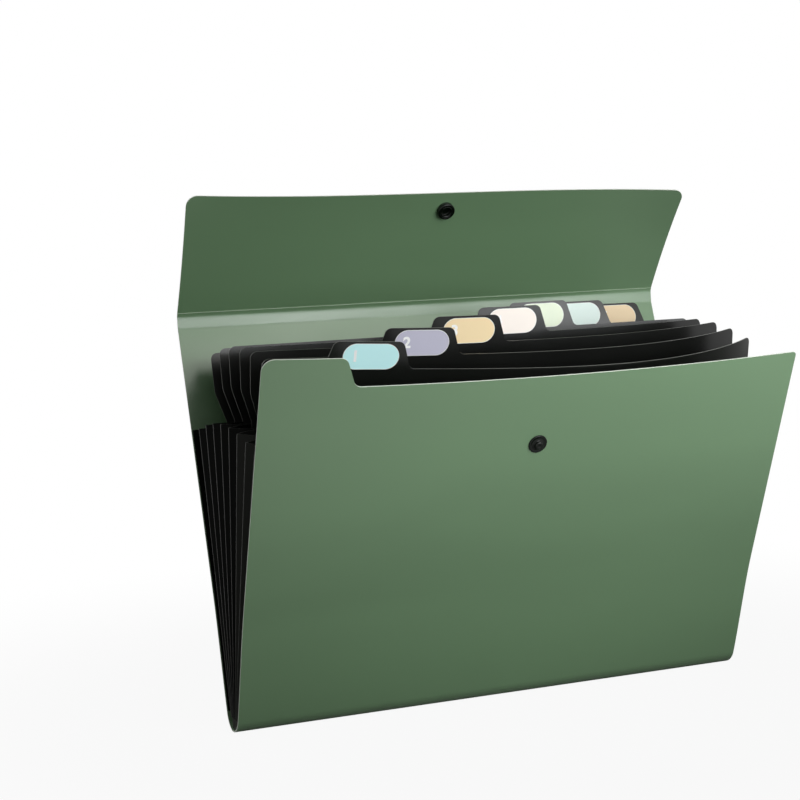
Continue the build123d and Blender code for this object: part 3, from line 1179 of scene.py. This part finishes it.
def floor_material():
    """Pale matt floor that fades to white away from the folder."""
    material, tree, shader = node_tree("floor_pale")
    shader.inputs["Base Color"].default_value = FLOOR_GREY
    shader.inputs["Roughness"].default_value = 0.9
    shader.inputs["Specular IOR Level"].default_value = 0.1
    output = [node for node in tree.nodes if node.type == "OUTPUT_MATERIAL"][0]
    glow = tree.nodes.new("ShaderNodeEmission")
    glow.inputs["Color"].default_value = WHITE
    glow.inputs["Strength"].default_value = 1.0
    fade = fade_out(tree, stretch=(1, 1, 1), near=0.2, far=0.6, low=0.93)
    mirrored = fade_out(tree, stretch=(0.12, 1, 1), near=0.03, far=0.30, low=0.0)
    share = tree.nodes.new("ShaderNodeMath")
    share.operation = "MULTIPLY"
    tree.links.new(fade.outputs["Result"], share.inputs[0])
    tree.links.new(seen_rays(tree, mirrored).outputs["Value"], share.inputs[1])
    mix = tree.nodes.new("ShaderNodeMixShader")
    tree.links.new(share.outputs["Value"], mix.inputs["Fac"])
    tree.links.new(shader.outputs["BSDF"], mix.inputs[1])
    tree.links.new(glow.outputs["Emission"], mix.inputs[2])
    tree.links.new(mix.outputs["Shader"], output.inputs["Surface"])
    return material


def make_floor():
    """Round floor that keeps the folder's shadow."""
    bm = bmesh.new()
    centre = Vector((0, 0, FLOOR_Z))
    rings = [ring_of(bm, centre, X_AXIS, Y_AXIS, radius, segments=96) for radius in FLOOR_RADII]
    bm.faces.new(rings[0])
    for inner, outer in zip(rings, rings[1:]):
        join_rings(bm, outer, inner)
    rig.stage(new_piece("floor", bm, (floor_material(),)))


def make_camera():
    """Camera of the photo: place, turn and lens."""
    yaw = math.radians(CAMERA_YAW)
    pitch = math.radians(CAMERA_PITCH)
    roll = math.radians(CAMERA_ROLL)
    level = Vector((math.cos(yaw), -math.sin(yaw), 0))
    heading = Vector((math.sin(yaw), math.cos(yaw), 0))
    ahead = heading * math.cos(pitch) + Vector((0, 0, math.sin(pitch)))
    upright = level.cross(ahead)
    right = level * math.cos(roll) + upright * math.sin(roll)
    top = upright * math.cos(roll) - level * math.sin(roll)
    data = bpy.data.cameras.new("photo_camera")
    data.lens = CAMERA_LENS
    data.sensor_width = CAMERA_SENSOR
    data.clip_start = 0.01
    data.clip_end = 50.0
    camera = bpy.data.objects.new("photo_camera", data)
    turn = Matrix((right, top, -ahead)).transposed()
    camera.matrix_world = Matrix.Translation(CAMERA_PLACE) @ turn.to_4x4()
    bpy.context.scene.collection.objects.link(camera)
    bpy.context.scene.camera = camera


area_light("key_light", place=(0.29, -0.80, 0.64), target=(0.04, 0.05, 0.27), width=0.46, height=0.58,
           power=0.57, colour=(1.0, 0.98, 0.94), spread=80.0)
area_light("front_light", place=(0.15, -0.40, 0.25), target=(0.07, -0.08, 0.19), width=0.5, height=0.22,
           power=0.46, colour=(0.97, 1.0, 1.02), spread=80.0)
area_light("back_light", place=(-0.6, 1.0, 0.9), target=(0.0, 0.0, 0.12), width=0.9, height=0.9,
           power=5.0, colour=(1.0, 1.0, 1.0))
make_world()
make_floor()
make_camera()
bpy.context.scene.view_settings.view_transform = "Standard"

with open("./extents.json", "w") as handle:
    boxes = {
        "cad": [[float(value) for value in corner] for corner in CAD_BOX],
        "visual": [[float(value) for value in corner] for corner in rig.bounds()],
    }
    json.dump(boxes, handle)
